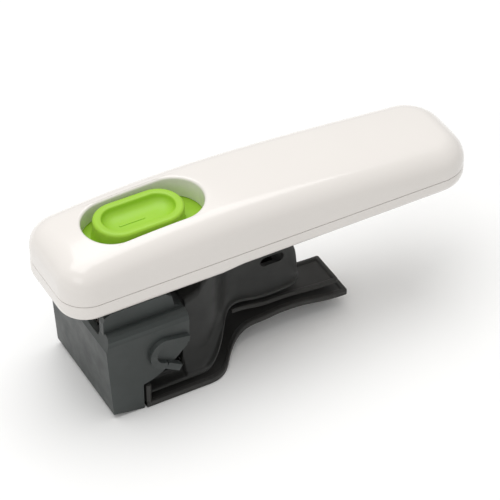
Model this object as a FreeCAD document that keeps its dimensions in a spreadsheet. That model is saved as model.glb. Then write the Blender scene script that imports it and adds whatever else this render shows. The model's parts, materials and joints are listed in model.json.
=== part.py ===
import FreeCAD, Part
import os
import re
import Sketcher

# Folding clip-on pan handle: a two-shell hollow grip with a sliding thumb
# button, pivoted on a bracket that hooks over two studs of a pan and carries
# an arm with two strips that lie along the pan wall.
#
# +X runs from the button end (front) to the tail, +Y across, +Z up.  The
# origin is on the ground under the middle of the folded handle.  Lengths in
# the sheet are measured from the front end of the handle (X) and from the
# ground (Z); every body is then moved forward by half the handle length.

os.makedirs("parts", exist_ok=True)
doc = FreeCAD.newDocument("folding_pan_handle")
V = FreeCAD.Vector

# ---------------------------------------------------------------- dimensions
# Driving sizes first, sizes worked out from them after.
SIZES = [
    # grip
    ("handle_length", "195"),
    ("handle_width", "49"),
    ("shell_wall", "2.2"),
    ("seam_height", "63.5"),
    ("crown_height", "20.6"),
    ("front_depth", "9"),
    ("tail_depth", "7.4"),
    ("front_corner", "13"),
    ("tail_corner", "17"),
    ("top_round", "10"),
    ("bottom_round", "4"),
    ("seam_gap", "0.35"),
    ("opening_length", "53.5"),
    ("opening_width", "27.2"),
    ("opening_middle", "45.3"),
    ("well_wall", "1.8"),
    # slider
    ("slider_travel", "7"),
    ("cup_length", "40"),
    ("cup_width", "22.5"),
    ("cup_wall", "3.6"),
    ("cup_sink", "1.3"),
    ("plate_drop", "10.5"),
    ("plate_thick", "2"),
    ("run_gap", "0.4"),
    ("guide_thick", "1.6"),
    ("stem_drop", "8"),
    ("stem_length", "11"),
    ("spring_length", "22"),
    ("spring_radius", "3"),
    ("wire_radius", "0.45"),
    # pivot and lock
    ("pivot_x", "31"),
    ("pivot_drop", "18.5"),
    ("pin_radius", "3"),
    ("pin_fit", "0.05"),
    ("bush_wall", "1"),
    ("lug_radius", "11"),
    ("catch_radius", "15"),
    ("catch_thick", "5"),
    ("tooth_length", "2.5"),
    ("finger_thick", "3"),
    ("finger_width", "7"),
    ("ear_inner", "18"),
    ("ear_outer", "21.8"),
    # bracket
    ("bracket_front", "13.2"),
    ("bracket_width", "54.6"),
    ("bracket_wall", "3"),
    ("bracket_rear", "30"),
    ("ear_rear", "52"),
    ("front_wall_top", "41.3"),
    ("shoulder_height", "44.6"),
    ("pan_radius", "140"),
    ("front_lean", "2.5"),
    ("front_lift", "2.5"),
    ("hook_throat", "9.4"),
    ("hook_rib", "3.1"),
    ("hook_face", "29.3"),
    ("hook_x", "40.5"),
    ("hook_z", "27.8"),
    # arm and strips
    ("arm_end", "118"),
    ("arm_width", "16.5"),
    ("arm_root_width", "50"),
    ("arm_inset", "3.4"),
    ("neck_start", "61"),
    ("neck_end", "88"),
    ("strip_thick", "2"),
    ("step_gap", "1.2"),
    ("tray_end", "135"),
    ("tray_width", "18.4"),
    ("tray_thick", "1.2"),
    ("tray_height", "16.5"),
    ("base_end", "138"),
    ("base_width", "25"),
    ("base_root_width", "56"),
    ("base_rise", "9.5"),
    ("rim_height", "1.6"),
    ("rim_width", "2.4"),
    # fastenings
    ("screw_radius", "1.5"),
    ("head_radius", "2.9"),
    ("boss_radius", "3.6"),
    # worked out
    ("half_length", "=handle_length / 2"),
    ("half_width", "=handle_width / 2"),
    ("underside", "=seam_height - front_depth"),
    ("pivot_z", "=seam_height - front_depth - pivot_drop"),
    ("crown_z", "=seam_height + crown_height"),
    ("plate_top", "=seam_height + crown_height - plate_drop"),
    ("plate_bottom", "=plate_top - plate_thick"),
    ("inner_half", "=half_width - shell_wall"),
    ("bush_radius", "=pin_radius + pin_fit + bush_wall"),
    ("cup_middle", "=opening_middle - opening_length / 2 + cup_length / 2 + 5"),
    ("finger_front", "=pivot_x + catch_radius + run_gap"),
    ("arm_half", "=arm_width / 2"),
    ("plate_front", "=opening_middle - opening_length / 2 - slider_travel - 1.2"),
    ("plate_rear", "=opening_middle + opening_length / 2 + 1.2"),
    ("plate_half", "=opening_width / 2 + well_wall"),
    ("guide_top", "=plate_bottom - run_gap"),
    ("guide_bottom", "=guide_top - guide_thick"),
    ("stem_bottom", "=guide_bottom - stem_drop"),
    ("finger_x", "=finger_front + tooth_length"),
    ("stem_front", "=finger_x"),
    ("stem_rear", "=stem_front + stem_length"),
    ("seat_x", "=stem_rear + spring_length"),
    ("spring_z", "=guide_bottom - stem_drop / 2"),
    ("sag", "=(bracket_width - 5) ^ 2 / 8 / pan_radius"),
    ("floor_top", "=sag + bracket_wall + 0.5"),
    ("cheek_inner", "=bracket_width / 2 - bracket_wall"),
    ("base_front", "=bracket_rear + step_gap"),
    ("arm_front", "=base_front + strip_thick + step_gap"),
    ("arm_floor", "=strip_thick + step_gap + 1.3"),
]
sheet = doc.addObject("Spreadsheet::Sheet", "dims")
for row, (alias, value) in enumerate(SIZES, start=1):
    sheet.set("A%d" % row, alias)
    sheet.set("B%d" % row, value)
    sheet.setAlias("B%d" % row, alias)
scratch = doc.addObject("Spreadsheet::Sheet", "scratch")
doc.recompute()


def size(alias):
    """The value of one size of the sheet."""
    return float(getattr(sheet, alias))


def ref(text):
    """An expression in which every sheet size is written out in full."""
    names = {alias for alias, _ in SIZES}
    return re.sub("[a-z_]+", lambda word: ("dims." if word.group() in names else "")
                  + word.group(), text)


NODES = []


def place(node):
    """Move a finished piece so that the origin is under the handle's middle."""
    node.setExpression("Placement.Base.x", "-dims.handle_length / 2")
    NODES.append(node)
    return node


# ------------------------------------------------------------- body builders
def new_body(label):
    body = doc.addObject("PartDesign::Body", label)
    body.Label = label
    return place(body)


def plane_of(body, role):
    return [item for item in body.Origin.OriginFeatures if item.Role == role][0]


def new_sketch(body, name, role, offset="0"):
    sketch = body.newObject("Sketcher::SketchObject", name)
    sketch.AttachmentSupport = [(plane_of(body, role), "")]
    sketch.MapMode = "FlatFace"
    sketch.setExpression("AttachmentOffset.Base.z", ref(offset))
    return sketch


def polygon(sketch, points):
    """A closed outline; every corner is driven by two expressions."""
    first = sketch.GeometryCount
    count = len(points)
    values = [(worth(px), worth(py)) for px, py in points]
    for i in range(count):
        start = V(values[i][0], values[i][1], 0)
        end = V(values[(i + 1) % count][0], values[(i + 1) % count][1], 0)
        sketch.addGeometry(Part.LineSegment(start, end), False)
    for i in range(count):
        sketch.addConstraint(Sketcher.Constraint(
            "Coincident", first + i, 2, first + (i + 1) % count, 1))
    for i in range(count):
        for kind, value, text in (("DistanceX", values[i][0], points[i][0]),
                                  ("DistanceY", values[i][1], points[i][1])):
            index = sketch.addConstraint(
                Sketcher.Constraint(kind, -1, 1, first + i, 1, value))
            sketch.setExpression("Constraints[%d]" % index, ref(text))
    return sketch


def worth(text):
    """The present value of an expression in the sheet's sizes."""
    scratch.set("A1", "=" + ref(text))
    scratch.recompute()
    return float(scratch.get("A1"))


def rectangle(sketch, x0, x1, y0, y1):
    return polygon(sketch, [(x0, y0), (x1, y0), (x1, y1), (x0, y1)])


def circle(sketch, cx, cy, radius):
    centre = V(worth(cx), worth(cy), 0)
    geo = sketch.addGeometry(Part.Circle(centre, V(0, 0, 1), worth(radius)), False)
    for kind, value, text in (("DistanceX", centre.x, cx), ("DistanceY", centre.y, cy)):
        index = sketch.addConstraint(Sketcher.Constraint(kind, -1, 1, geo, 3, value))
        sketch.setExpression("Constraints[%d]" % index, ref(text))
    index = sketch.addConstraint(Sketcher.Constraint("Radius", geo, worth(radius)))
    sketch.setExpression("Constraints[%d]" % index, ref(radius))
    return sketch


def extrude(kind, body, sketch, length, both=False, back=False):
    feature = body.newObject("PartDesign::" + kind, sketch.Name + "_" + kind.lower())
    feature.Profile = sketch
    feature.setExpression("Length", ref(length))
    if both:
        feature.SideType = "Symmetric"
    feature.Reversed = back
    sketch.Visibility = False
    doc.recompute()
    return feature


def pad(body, sketch, length, both=False, back=False):
    return extrude("Pad", body, sketch, length, both, back)


def pocket(body, sketch, length, both=False, back=False):
    before = body.Shape.Volume
    feature = extrude("Pocket", body, sketch, length, both, back)
    if body.Shape.Volume > before - 1e-6:
        feature.Reversed = not back
        doc.recompute()
    return feature


def group_of(label, items):
    """Identical pieces kept as one node of separate solids."""
    node = doc.addObject("Part::Compound", label)
    node.Label = label
    node.Links = items
    return place(node)


def cylinder(name, x, y, z, radius, length, axis=(0, 0, 1)):
    """A Part cylinder with its foot at x, y, z, pointing along an axis."""
    item = doc.addObject("Part::Cylinder", name)
    item.setExpression("Radius", ref(radius))
    item.setExpression("Height", ref(length))
    item.Placement = FreeCAD.Placement(V(0, 0, 0), FreeCAD.Rotation(V(0, 0, 1), V(*axis)))
    item.setExpression("Placement.Base.x", ref(x))
    item.setExpression("Placement.Base.y", ref(y))
    item.setExpression("Placement.Base.z", ref(z))
    return item


def fused(name, items):
    item = doc.addObject("Part::MultiFuse", name)
    item.Shapes = items
    return item


def cut(name, base, tool):
    item = doc.addObject("Part::Cut", name)
    item.Base = base
    item.Tool = tool
    return item


def screw(name, x, y, z, length, up=True):
    """A pan-head screw: head at z, shank running up (or down) from it."""
    way = 1 if up else -1
    head = cylinder(name + "_head", x, y, z, "head_radius", "1.8", (0, 0, -way))
    shank = cylinder(name + "_shank", x, y, z, "screw_radius", length, (0, 0, way))
    return fused(name, [head, shank])


def free_shape(label, shape):
    """A free-form piece whose shape is worked out from the sheet's sizes."""
    node = doc.addObject("Part::Feature", label)
    node.Label = label
    node.Shape = shape
    return place(node)


# ---------------------------------------------------------- free-form shapes
def face_of(edges):
    return Part.Face(Part.Wire(Part.__sortEdges__(edges)))


def side_slab(top, bottom, half):
    """A slab between an upper and a lower curve in XZ, spread over -half..half."""
    def curve(points):
        vectors = [V(px, -half, pz) for px, pz in points]
        if len(vectors) == 2:
            return Part.LineSegment(vectors[0], vectors[1]).toShape()
        spline = Part.BSplineCurve()
        spline.interpolate(vectors)
        return spline.toShape()
    upper = curve(top)
    lower = curve(bottom)
    ends = [Part.LineSegment(V(top[i][0], -half, top[i][1]),
                             V(bottom[i][0], -half, bottom[i][1])).toShape()
            for i in (0, -1)]
    return face_of([upper, lower] + ends).extrude(V(0, 2 * half, 0))


def plan_block(inset, z0, z1):
    """The rounded plan of the grip, drawn in by an inset, between two heights."""
    length = size("handle_length")
    half = size("half_width") - inset
    box = Part.makeBox(length - 2 * inset, 2 * half, z1 - z0, V(inset, -half, z0))
    front = [e for e in box.Edges if upright(e) and e.CenterOfMass.x < length / 2]
    tail = [e for e in box.Edges if upright(e) and e.CenterOfMass.x > length / 2]
    box = box.makeFillet(size("front_corner") - inset, front)
    tail = [e for e in box.Edges if upright(e) and e.CenterOfMass.x > length - inset - 1
            and abs(abs(e.CenterOfMass.y) - half) < 1]
    return box.makeFillet(size("tail_corner") - inset, tail)


def upright(edge):
    first, last = edge.Vertexes[0].Point, edge.Vertexes[-1].Point
    return abs(first.x - last.x) < 1e-6 and abs(first.y - last.y) < 1e-6


def crown_points(drop):
    """The arched top line of the grip, lowered by a drop."""
    length = size("handle_length")
    crown = size("crown_height")
    shares = [(-0.02, 0.78), (0.07, 0.87), (0.18, 0.96), (0.34, 1.0), (0.50, 0.955),
              (0.65, 0.86), (0.80, 0.725), (0.92, 0.61), (1.02, 0.50)]
    return [(length * a, size("seam_height") + crown * b - drop) for a, b in shares]


def keel_points(rise):
    """The underside line of the grip, raised by a rise."""
    length = size("handle_length")
    seam = size("seam_height")
    deep = seam - size("front_depth") + rise
    shallow = seam - size("tail_depth") + rise
    middle = seam - (size("front_depth") + 2 * size("tail_depth")) / 3 + rise
    return [(-5, deep), (0.36 * length, deep), (0.41 * length, middle), (length + 5, shallow)]


def upper_half(inset):
    """The solid above the seam, drawn in by an inset, with a rounded top rim."""
    seam = size("seam_height")
    low = seam if inset == 0 else seam - 1
    block = plan_block(inset, low, seam + size("crown_height") + 5)
    top = crown_points(inset)
    bottom = [(top[0][0], low - 1), (top[-1][0], low - 1)]
    shape = block.common(side_slab(top, bottom, size("handle_width")))
    rim = [e for e in shape.Edges
           if e.BoundBox.ZMin > seam + 2 and not upright(e)]
    return shape.makeFillet(size("top_round") - inset * 0.9, rim)


def lower_half(inset):
    """The solid below the seam, drawn in by an inset."""
    seam = size("seam_height")
    high = seam if inset == 0 else seam + 1
    block = plan_block(inset, seam - size("front_depth") - 2, high)
    keel = keel_points(inset)
    corners = [V(px, -size("handle_width"), pz) for px, pz in keel]
    corners += [V(keel[-1][0], -size("handle_width"), high + 1),
                V(keel[0][0], -size("handle_width"), high + 1)]
    slab = Part.Face(Part.makePolygon(corners + corners[:1]))
    slab = slab.extrude(V(0, 2 * size("handle_width"), 0))
    shape = block.common(slab)
    if inset == 0:
        rim = [e for e in shape.Edges if e.BoundBox.ZMax < seam - 0.5
               and not upright(e) and not across(e)]
        shape = shape.makeFillet(size("bottom_round"), rim)
    return shape


def across(edge):
    """True for a straight edge that runs from side to side under the grip."""
    box = edge.BoundBox
    return (box.YLength > size("handle_width") / 2 and box.XLength < 1e-6
            and box.XMin > 1 and box.XMax < size("handle_length") - 1)


def stadium(cx, length, width, z0, z1):
    """A round-ended block, long in X."""
    radius = width / 2
    reach = length / 2 - radius
    shape = Part.makeBox(2 * reach, width, z1 - z0, V(cx - reach, -radius, z0))
    for way in (-1, 1):
        shape = shape.fuse(Part.makeCylinder(radius, z1 - z0, V(cx + way * reach, 0, z0)))
    return shape.removeSplitter()


def s_plan(front, rear, wide, narrow, z0, z1):
    """A plan that is wide at the front and eases into a narrow tongue."""
    start, end = size("neck_start"), size("neck_end")
    third = (end - start) / 3
    edges = []
    for way in (-1, 1):
        easing = Part.BezierCurve()
        easing.setPoles([V(start, way * wide, z0), V(start + 1.6 * third, way * wide, z0),
                         V(end - 1.6 * third, way * narrow, z0), V(end, way * narrow, z0)])
        edges.append(easing.toShape())
        edges.append(Part.LineSegment(V(front, way * wide, z0),
                                      V(start, way * wide, z0)).toShape())
        edges.append(Part.LineSegment(V(end, way * narrow, z0),
                                      V(rear, way * narrow, z0)).toShape())
    for px, half in ((front, wide), (rear, narrow)):
        edges.append(Part.LineSegment(V(px, -half, z0), V(px, half, z0)).toShape())
    return face_of(edges).extrude(V(0, 0, z1 - z0))


# =================================================================== the grip
wall = size("shell_wall")
seam = size("seam_height")
gap = size("seam_gap")
length = size("handle_length")
half = size("half_width")
boss = size("boss_radius")
shank = size("screw_radius")
plate_top = size("plate_top")
pivot_x = size("pivot_x")
pivot_z = size("pivot_z")
opening = (size("opening_middle"), size("opening_length"), size("opening_width"))


def mirrored(px, py):
    """A place and its mirror image across the middle, or just a middle place."""
    return [(px, py), (px, -py)] if py else [(px, 0.0)]


SHELL_BOSSES = (mirrored(5.9, 8.5) + mirrored(0.5 * length, 0.55 * half)
                + mirrored(0.9 * length, 0))
GUIDE_BOSSES = mirrored(24.5, half - 6) + mirrored(size("seat_x") + 3, 11)

upper = upper_half(0).cut(upper_half(wall))
well_rim = 2 * size("well_wall")
well = stadium(opening[0], opening[1] + well_rim, opening[2] + well_rim,
               plate_top + size("run_gap"), size("crown_z"))
upper = upper.fuse(well.common(upper_half(0)))
upper = upper.cut(stadium(*opening, plate_top - 5, size("crown_z") + 5))
shell_core = upper_half(wall * 0.5)
for px, py in SHELL_BOSSES:
    post = Part.makeCylinder(boss - 0.6, size("crown_height") + 2, V(px, py, seam - gap))
    upper = upper.fuse(post.common(shell_core))
    upper = upper.cut(Part.makeCylinder(shank, 9, V(px, py, seam - 1)))
for px, py in GUIDE_BOSSES:
    post = Part.makeCylinder(boss - 0.8, size("crown_height"),
                             V(px, py, size("guide_top")))
    upper = upper.fuse(post.common(shell_core))
    upper = upper.cut(Part.makeCylinder(shank, 6, V(px, py, size("guide_top") - 1)))
upper_shell = free_shape("upper_shell", upper.removeSplitter())


def keel_height(px):
    """Height of the grip's underside at a distance from the front."""
    line = keel_points(0)
    for (x0, z0), (x1, z1) in zip(line, line[1:]):
        if x0 <= px <= x1:
            return z0 + (z1 - z0) * (px - x0) / (x1 - x0)
    return line[-1][1]


lower = lower_half(0).cut(lower_half(wall))
lower = lower.cut(Part.makeBox(length + 2, 2 * half + 2, 2, V(-1, -half - 1, seam - gap)))
for px, py in SHELL_BOSSES:
    low = keel_height(px) + 0.3
    post = Part.makeCylinder(boss + 0.8, seam - gap - low, V(px, py, low))
    lower = lower.fuse(post.common(lower_half(wall * 0.5)))
    lower = lower.cut(Part.makeCylinder(shank, 20, V(px, py, seam - 15)))
    lower = lower.cut(Part.makeCylinder(size("head_radius") + 0.3, 12,
                                        V(px, py, low + 2.1 - 12)))
STIFFENER_X = (0.47 * length, 0.70 * length)
stiffener_z = seam - size("tail_depth") + wall + 0.8
for px in STIFFENER_X:
    low = keel_height(px) + 0.3
    lower = lower.fuse(Part.makeCylinder(boss, stiffener_z - low, V(px, 0, low)))
# two lugs hang under the front part and turn on the pivot pin
lug_half = size("ear_inner") - 0.6
lug = Part.makeCylinder(size("lug_radius"), 2 * lug_half,
                        V(pivot_x, -lug_half, pivot_z), V(0, 1, 0))
neck = Part.makeBox(size("lug_radius") - 4.5, 2 * lug_half,
                    size("pivot_drop") + 0.5, V(pivot_x + 6.3, -lug_half, pivot_z))
lower = lower.fuse(lug).fuse(neck)
slot_half = size("catch_thick") / 2 + 0.6
lower = lower.cut(Part.makeCylinder(size("catch_radius") + 0.6, 2 * slot_half,
                                    V(pivot_x, -slot_half, pivot_z), V(0, 1, 0)))
lower = lower.cut(Part.makeCylinder(size("bush_radius"), 2 * half,
                                    V(pivot_x, -half, pivot_z), V(0, 1, 0)))
# slots in the underside for the bracket's ears and for the lock finger
ear_reach = 16
for way in (-1, 1):
    inner = size("ear_inner") - 0.5
    outer = size("ear_outer") + 0.4
    y0 = inner if way > 0 else -outer
    lower = lower.cut(Part.makeBox(2 * ear_reach + 2, outer - inner, size("front_depth") - 1.5,
                                   V(pivot_x - ear_reach - 2, y0, size("underside") - 0.5)))
finger_half = size("finger_width") / 2 + 0.6
lower = lower.cut(Part.makeBox(size("finger_thick") + size("tooth_length")
                               + size("slider_travel") + 1.6, 2 * finger_half, 6,
                               V(size("finger_front") - 0.8, -finger_half,
                                 size("underside") - 1)))
lower_shell = free_shape("lower_shell", lower.removeSplitter())

# ---- thumb slider: plate, dished cup and the stem that carries the lock bolt
button = doc.addObject("PartDesign::Body", "button_body")
sk = new_sketch(button, "plate", "XY_Plane", "plate_bottom")
rectangle(sk, "plate_front", "plate_rear", "-plate_half", "plate_half")
pad(button, sk, "plate_thick")
sk = new_sketch(button, "stem", "XY_Plane", "plate_bottom")
rectangle(sk, "stem_front", "stem_rear", "-finger_width / 2", "finger_width / 2")
pad(button, sk, "guide_thick + stem_drop + run_gap", back=True)
cup_top = size("crown_z") - size("cup_sink")
cup_x = size("cup_middle")
rim = size("cup_wall")
cup = stadium(cup_x, size("cup_length"), size("cup_width"), plate_top - 0.5, cup_top)
ring_top = [e for e in cup.Edges if e.BoundBox.ZMin > cup_top - 0.1]
cup = cup.makeFillet(1.2, ring_top)
dish = stadium(cup_x, size("cup_length") - 2 * rim, size("cup_width") - 2 * rim,
               cup_top - 4.6, cup_top + 1)
dish_floor = [e for e in dish.Edges if e.BoundBox.ZMax < cup_top - 4.5]
dish = dish.makeFillet(2.6, dish_floor)
cup = cup.cut(dish)
cup_part = doc.addObject("Part::Feature", "cup")
cup_part.Shape = cup
doc.recompute()
slider_button = fused("slider_button", [button, cup_part])
slider_button.Label = "slider_button"
place(slider_button)

# ---- lock bolt: a flange under the stem and a finger with a tooth
bolt = new_body("lock_bolt")
sk = new_sketch(bolt, "bolt_side", "XZ_Plane")
polygon(sk, [("finger_front", "pivot_z - 1.6"), ("finger_x + finger_thick", "pivot_z - 1.6"),
             ("finger_x + finger_thick", "stem_bottom - 2"), ("stem_rear", "stem_bottom - 2"),
             ("stem_rear", "stem_bottom"), ("finger_x", "stem_bottom"),
             ("finger_x", "pivot_z + 1.6"), ("finger_front", "pivot_z + 1.6")])
pad(bolt, sk, "finger_width", both=True)
bolt_screw = screw("bolt_screw", "stem_rear - 4", "0", "stem_bottom - 2", "7")
bolt_screw.Label = "bolt_screw"
place(bolt_screw)

# ---- guide plate that holds the slider up against the upper shell
guide = new_body("slide_guide")
sk = new_sketch(guide, "guide_plan", "XY_Plane", "guide_bottom")
rectangle(sk, "21", "seat_x + 8", "-(inner_half - 1)", "inner_half - 1")
pad(guide, sk, "guide_thick")
sk = new_sketch(guide, "guide_slot", "XY_Plane", "guide_bottom - 1")
rectangle(sk, "stem_front - 0.8", "stem_rear + slider_travel + 0.8",
          "-(finger_width / 2 + 0.6)", "finger_width / 2 + 0.6")
pocket(guide, sk, "guide_thick + 2", back=True)
sk = new_sketch(guide, "spring_seat", "XY_Plane", "guide_bottom")
rectangle(sk, "seat_x", "seat_x + 2", "-5", "5")
pad(guide, sk, "stem_drop + 0.5", back=True)
guide_screws = []
for i, (px, py) in enumerate(GUIDE_BOSSES):
    guide_screws.append(screw("guide_screw%d" % i, str(px), str(py), "guide_bottom", "6"))
group_of("guide_screws", guide_screws)

# ---- return spring behind the stem, lying along X
turns = 9
free_length = size("spring_length") - 2 * size("wire_radius")
helix = Part.makeHelix(free_length / turns, free_length, size("spring_radius"))
profile = Part.Wire(Part.makeCircle(size("wire_radius"), V(size("spring_radius"), 0, 0),
                                    V(0, 1, 0)))
coil = Part.Wire(helix).makePipeShell([profile], True, True)
spring = free_shape("slider_spring", coil)
spring.Placement = FreeCAD.Placement(V(0, 0, 0), FreeCAD.Rotation(V(0, 1, 0), 90))
spring.setExpression("Placement.Base.x", ref("stem_rear + wire_radius - half_length"))
spring.setExpression("Placement.Base.z", ref("spring_z"))

# ---- steel stiffener in the tail half and the screws of the grip
stiffener = new_body("stiffener")
sk = new_sketch(stiffener, "stiffener_plan", "XY_Plane", str(stiffener_z))
rectangle(sk, "0.45 * handle_length", "0.72 * handle_length", "-7", "7")
pad(stiffener, sk, "2")
stiffener_screws = [screw("stiffener_screw%d" % i, str(px), "0", str(stiffener_z + 2), "5",
                          up=False) for i, px in enumerate(STIFFENER_X)]
group_of("stiffener_screws", stiffener_screws)
shell_screws = []
for i, (px, py) in enumerate(SHELL_BOSSES):
    shell_screws.append(screw("shell_screw%d" % i, str(px), str(py),
                              str(keel_height(px) + 2.4), "9"))
group_of("shell_screws", shell_screws)

# ============================================================== the bracket
block = doc.addObject("PartDesign::Body", "block")
sk = new_sketch(block, "lower_side", "XZ_Plane")
polygon(sk, [("bracket_front + front_lean", "front_lift"), ("bracket_rear", "0"), ("bracket_rear", "13.5"),
             ("bracket_rear + 4", "14.5"), ("bracket_rear + 9", "17"),
             ("bracket_rear + 15", "21.5"), ("ear_rear - 1.2", "27"),
             ("ear_rear", "32"), ("ear_rear", "shoulder_height"),
             ("bracket_front + 2.4", "shoulder_height"),
             ("bracket_front + 0.3", "shoulder_height - 6")])
pad(block, sk, "bracket_width", both=True)
sk = new_sketch(block, "ears_side", "XZ_Plane")
polygon(sk, [("bracket_front + 2", "shoulder_height - 2"),
             ("ear_rear", "shoulder_height - 2"),
             ("ear_rear", "underside - 10"), ("ear_rear - 4", "underside - 8"),
             ("ear_rear - 5", "underside - 3"), ("ear_rear - 8", "underside - 0.7"),
             ("bracket_front + 5.5", "underside - 0.7"), ("bracket_front + 2.6", "underside - 2.2"),
             ("bracket_front + 2", "underside - 5")])
pad(block, sk, "2 * ear_outer", both=True)
# the shoulders beside the ears are rounded off in short flats
for tag, way in (("left", "-"), ("right", "")):
    sk = new_sketch(block, "shoulder_" + tag, "YZ_Plane", "bracket_front - 2")
    polygon(sk, [(way + "(bracket_width / 2 + 1)", "shoulder_height - 4"),
                 (way + "(bracket_width / 2)", "shoulder_height - 4"),
                 (way + "(bracket_width / 2 - 0.6)", "shoulder_height - 1.9"),
                 (way + "(bracket_width / 2 - 1.9)", "shoulder_height - 0.6"),
                 (way + "(bracket_width / 2 - 4)", "shoulder_height"),
                 (way + "(bracket_width / 2 - 4)", "shoulder_height + 1"),
                 (way + "(bracket_width / 2 + 1)", "shoulder_height + 1")])
    pocket(block, sk, "ear_rear")
sk = new_sketch(block, "between_ears", "XZ_Plane")
polygon(sk, [("bracket_front + front_lean + bracket_wall", "floor_top"),
             ("bracket_rear - bracket_wall", "floor_top"),
             ("bracket_rear - bracket_wall", "13.5"),
             ("ear_rear + 5", "13.5"), ("ear_rear + 5", "seam_height"),
             ("bracket_front + bracket_wall", "seam_height")])
pocket(block, sk, "2 * ear_inner", both=True)
sk = new_sketch(block, "over_front_wall", "XZ_Plane")
rectangle(sk, "bracket_front - 5", "bracket_front + bracket_wall + 1",
          "front_wall_top", "seam_height")
pocket(block, sk, "2 * ear_inner", both=True)
sk = new_sketch(block, "behind_cheeks", "XZ_Plane")
polygon(sk, [("bracket_front + front_lean + bracket_wall", "floor_top"),
             ("bracket_rear - bracket_wall", "floor_top"),
             ("bracket_rear - bracket_wall", "13.5"),
             ("ear_rear + 5", "13.5"), ("ear_rear + 5", "pivot_z - 8"),
             ("bracket_front + bracket_wall + 1", "pivot_z - 8")])
pocket(block, sk, "2 * cheek_inner", both=True)
sk = new_sketch(block, "pan_curve", "YZ_Plane", "bracket_front - 2")
circle(sk, "0", "sag - pan_radius", "pan_radius")
pocket(block, sk, "bracket_rear - bracket_front + 4")
sk = new_sketch(block, "pin_bore", "XZ_Plane")
circle(sk, "pivot_x", "pivot_z", "pin_radius")
pocket(block, sk, "2 * (ear_outer + 1)", both=True)

hooks = []
for way in (-1, 1):
    tag = "left" if way < 0 else "right"
    side = "-hook_face" if way < 0 else "bracket_width / 2 - 1"
    reach = "hook_face - bracket_width / 2 + 1"
    bend = cylinder("bend_" + tag, "hook_x", side, "hook_z",
                    "hook_throat / 2 + hook_rib", reach, (0, 1, 0))
    throat = cylinder("throat_" + tag, "hook_x", side, "hook_z",
                      "hook_throat / 2", reach, (0, 1, 0))
    rear = doc.addObject("Part::Box", "rear_" + tag)
    upper_bar = doc.addObject("Part::Box", "upper_bar_" + tag)
    lower_bar = doc.addObject("Part::Box", "lower_bar_" + tag)
    for box, length_of, low, high, dip in (
            (rear, "20", "-10", "20", 0),
            (upper_bar, "11.3", "hook_throat / 2", "hook_rib", 10),
            (lower_bar, "7.3", "-(hook_throat / 2 + hook_rib)", "hook_rib", 32)):
        box.setExpression("Length", ref(length_of))
        box.setExpression("Width", ref(reach))
        box.setExpression("Height", ref(high))
        box.Placement.Rotation = FreeCAD.Rotation(V(0, 1, 0), dip)
        foot = "hook_x" if box is rear else "hook_x - 0.8"
        box.setExpression("Placement.Base.x", ref(foot))
        box.setExpression("Placement.Base.y", ref(side))
        box.setExpression("Placement.Base.z", ref("hook_z + " + low))
    bent = cut("bent_" + tag, cut("ring_" + tag, bend, throat), rear)
    hooks += [bent, upper_bar, lower_bar]
pan_bracket = fused("pan_bracket", [block] + hooks)
pan_bracket.Label = "pan_bracket"
place(pan_bracket)

# ---- pivot pin, its bushes and the notched catch plate
pin = cylinder("pivot_pin", "pivot_x", "-ear_outer - 0.9", "pivot_z", "pin_radius",
               "2 * (ear_outer + 0.9)", (0, 1, 0))
pin.Label = "pivot_pin"
NODES.append(pin)
pin.setExpression("Placement.Base.x", ref("pivot_x - handle_length / 2"))
bushes = []
for way, foot in ((-1, "-(ear_inner - 0.8)"), (1, "catch_thick / 2 + 0.8")):
    tag = "left" if way < 0 else "right"
    reach = "ear_inner - catch_thick / 2 - 1.6"
    outer = cylinder("bush_" + tag, "pivot_x", foot, "pivot_z", "bush_radius", reach, (0, 1, 0))
    inner = cylinder("bush_hole_" + tag, "pivot_x", foot, "pivot_z", "pin_radius + pin_fit",
                     reach, (0, 1, 0))
    bushes.append(cut("bush_" + tag + "_tube", outer, inner))
group_of("pivot_bushes", bushes)

catch = new_body("catch_plate")
sk = new_sketch(catch, "disc", "XZ_Plane")
circle(sk, "pivot_x", "pivot_z", "catch_radius")
pad(catch, sk, "catch_thick", both=True)
sk = new_sketch(catch, "leg", "XZ_Plane")
rectangle(sk, "bracket_front + front_lean + bracket_wall + 1", "bracket_rear - bracket_wall - 1",
          "floor_top", "pivot_z")
pad(catch, sk, "catch_thick", both=True)
sk = new_sketch(catch, "foot", "XZ_Plane")
rectangle(sk, "bracket_front + front_lean + bracket_wall + 0.5", "bracket_rear - bracket_wall - 0.5",
          "floor_top", "floor_top + 2")
pad(catch, sk, "20", both=True)
sk = new_sketch(catch, "front_clearance", "XZ_Plane")
rectangle(sk, "pivot_x - catch_radius - 2", "bracket_front + bracket_wall + 1.5",
          "pivot_z - catch_radius", "pivot_z + catch_radius")
pocket(catch, sk, "catch_thick + 2", both=True)
sk = new_sketch(catch, "folded_notch", "XZ_Plane")
rectangle(sk, "pivot_x + catch_radius - tooth_length", "pivot_x + catch_radius + 1",
          "pivot_z - 2", "pivot_z + 2")
pocket(catch, sk, "catch_thick + 2", both=True)
sk = new_sketch(catch, "open_notch", "XZ_Plane")
rectangle(sk, "pivot_x - 2", "pivot_x + 2", "pivot_z + catch_radius - tooth_length",
          "pivot_z + catch_radius + 1")
pocket(catch, sk, "catch_thick + 2", both=True)
sk = new_sketch(catch, "pin_hole", "XZ_Plane")
circle(sk, "pivot_x", "pivot_z", "pin_radius")
pocket(catch, sk, "catch_thick + 2", both=True)
catch_screws = [screw("catch_screw%d" % i, "(bracket_front + bracket_rear) / 2 + 1", str(py),
                      "floor_top + 2", "4", up=False) for i, py in enumerate((-6.5, 6.5))]
group_of("catch_screws", catch_screws)

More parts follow.
